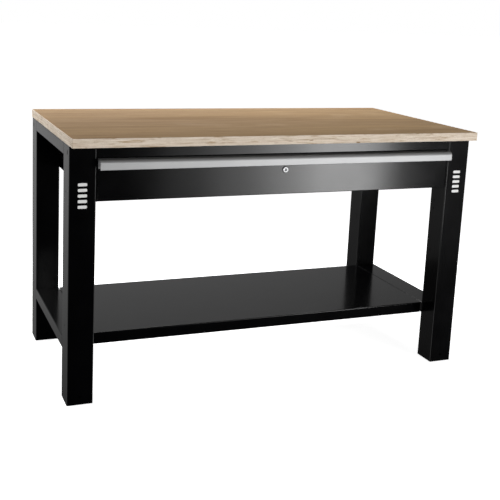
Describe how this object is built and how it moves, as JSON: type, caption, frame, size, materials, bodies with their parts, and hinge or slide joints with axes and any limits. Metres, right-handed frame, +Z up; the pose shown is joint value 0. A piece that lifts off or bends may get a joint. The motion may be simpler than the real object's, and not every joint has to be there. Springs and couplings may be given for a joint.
{
  "type": "workbench with drawer",
  "caption": "Steel-framed workbench with a plywood worktop, square box legs, a lower shelf and a full-width lockable drawer on telescopic slides under the top.",
  "frame": {"origin": "on the floor, under the centre of the worktop", "axes": "+X along the bench to the right of a person standing at the drawer, +Y from the drawer front towards the back, +Z up"},
  "size_m": [1.5, 0.75, 0.9],
  "materials": {
    "plywood": "matt lacquered multi-ply board",
    "black_powder_coat": "semi-gloss black powder coat on folded sheet steel",
    "anodised_aluminium": "satin anodised extrusion",
    "lock_chrome": "satin plated",
    "dark_nickel": "dull dark nickel plating",
    "zinc_plated_steel": "zinc plated",
    "ball_steel": "polished"
  },
  "bodies": {
    "bench": {"worktop": "plywood", "leg_front_left": "black_powder_coat", "leg_front_right": "black_powder_coat", "leg_rear_left": "black_powder_coat", "leg_rear_right": "black_powder_coat", "leg_base_plates": "black_powder_coat", "upper_beam_left": "black_powder_coat", "upper_beam_right": "black_powder_coat", "lower_beam_left": "black_powder_coat", "lower_beam_right": "black_powder_coat", "front_rail": "black_powder_coat", "rear_rail": "black_powder_coat", "shelf_panel": "black_powder_coat", "shelf_stiffeners": "black_powder_coat", "housing_left": "black_powder_coat", "housing_right": "black_powder_coat", "slide_outer_left": "zinc_plated_steel", "slide_outer_right": "zinc_plated_steel", "lock_striker": "black_powder_coat", "worktop_screws": "zinc_plated_steel", "beam_bolts": "zinc_plated_steel", "beam_nuts": "zinc_plated_steel", "rail_bolts": "zinc_plated_steel", "rail_nuts": "zinc_plated_steel", "housing_bolts": "zinc_plated_steel", "housing_nuts": "zinc_plated_steel", "shelf_bolts": "zinc_plated_steel", "shelf_nuts": "zinc_plated_steel", "shelf_washers": "zinc_plated_steel", "slide_fixed_screws": "zinc_plated_steel", "striker_rivets": "zinc_plated_steel"},
    "drawer": {"drawer_bottom": "black_powder_coat", "drawer_side_left": "black_powder_coat", "drawer_side_right": "black_powder_coat", "drawer_inner_front": "black_powder_coat", "drawer_back": "black_powder_coat", "drawer_front": "black_powder_coat", "drawer_stiffeners": "black_powder_coat", "drawer_handle": "anodised_aluminium", "slide_inner_left": "zinc_plated_steel", "slide_inner_right": "zinc_plated_steel", "lock_barrel": "lock_chrome", "lock_nut": "zinc_plated_steel", "slide_drawer_screws": "zinc_plated_steel", "handle_screws": "zinc_plated_steel", "tray_rivets": "zinc_plated_steel"},
    "slide_middles": {"slide_middle_left": "zinc_plated_steel", "slide_middle_right": "zinc_plated_steel"},
    "outer_cages": {"outer_cage_left": "zinc_plated_steel", "outer_cage_right": "zinc_plated_steel", "outer_balls": "ball_steel"},
    "inner_cages": {"inner_cage_left": "zinc_plated_steel", "inner_cage_right": "zinc_plated_steel", "inner_balls": "ball_steel"},
    "lock_core": {"lock_plug": "dark_nickel", "lock_cam": "zinc_plated_steel", "cam_screw": "zinc_plated_steel"}
  },
  "joints": [
    {"name": "drawer_slide", "type": "slide", "parent": "bench", "child": "drawer", "axis": [0, -1, 0], "range_m": [0, 0.56]},
    {"name": "middle_slide", "type": "slide", "parent": "bench", "child": "slide_middles", "axis": [0, -1, 0], "range_m": [0, 0.28]},
    {"name": "outer_cage_slide", "type": "slide", "parent": "bench", "child": "outer_cages", "axis": [0, -1, 0], "range_m": [0, 0.14]},
    {"name": "inner_cage_slide", "type": "slide", "parent": "bench", "child": "inner_cages", "axis": [0, -1, 0], "range_m": [0, 0.42]},
    {"name": "lock_turn", "type": "hinge", "parent": "drawer", "child": "lock_core", "pos_m": [0, -0.33, 0.775], "axis": [0, -1, 0], "range_deg": [0, 90]}
  ],
  "couplings": [
    {"joint": "middle_slide", "follows": "drawer_slide", "ratio": 0.5},
    {"joint": "outer_cage_slide", "follows": "drawer_slide", "ratio": 0.25},
    {"joint": "inner_cage_slide", "follows": "drawer_slide", "ratio": 0.75}
  ]
}
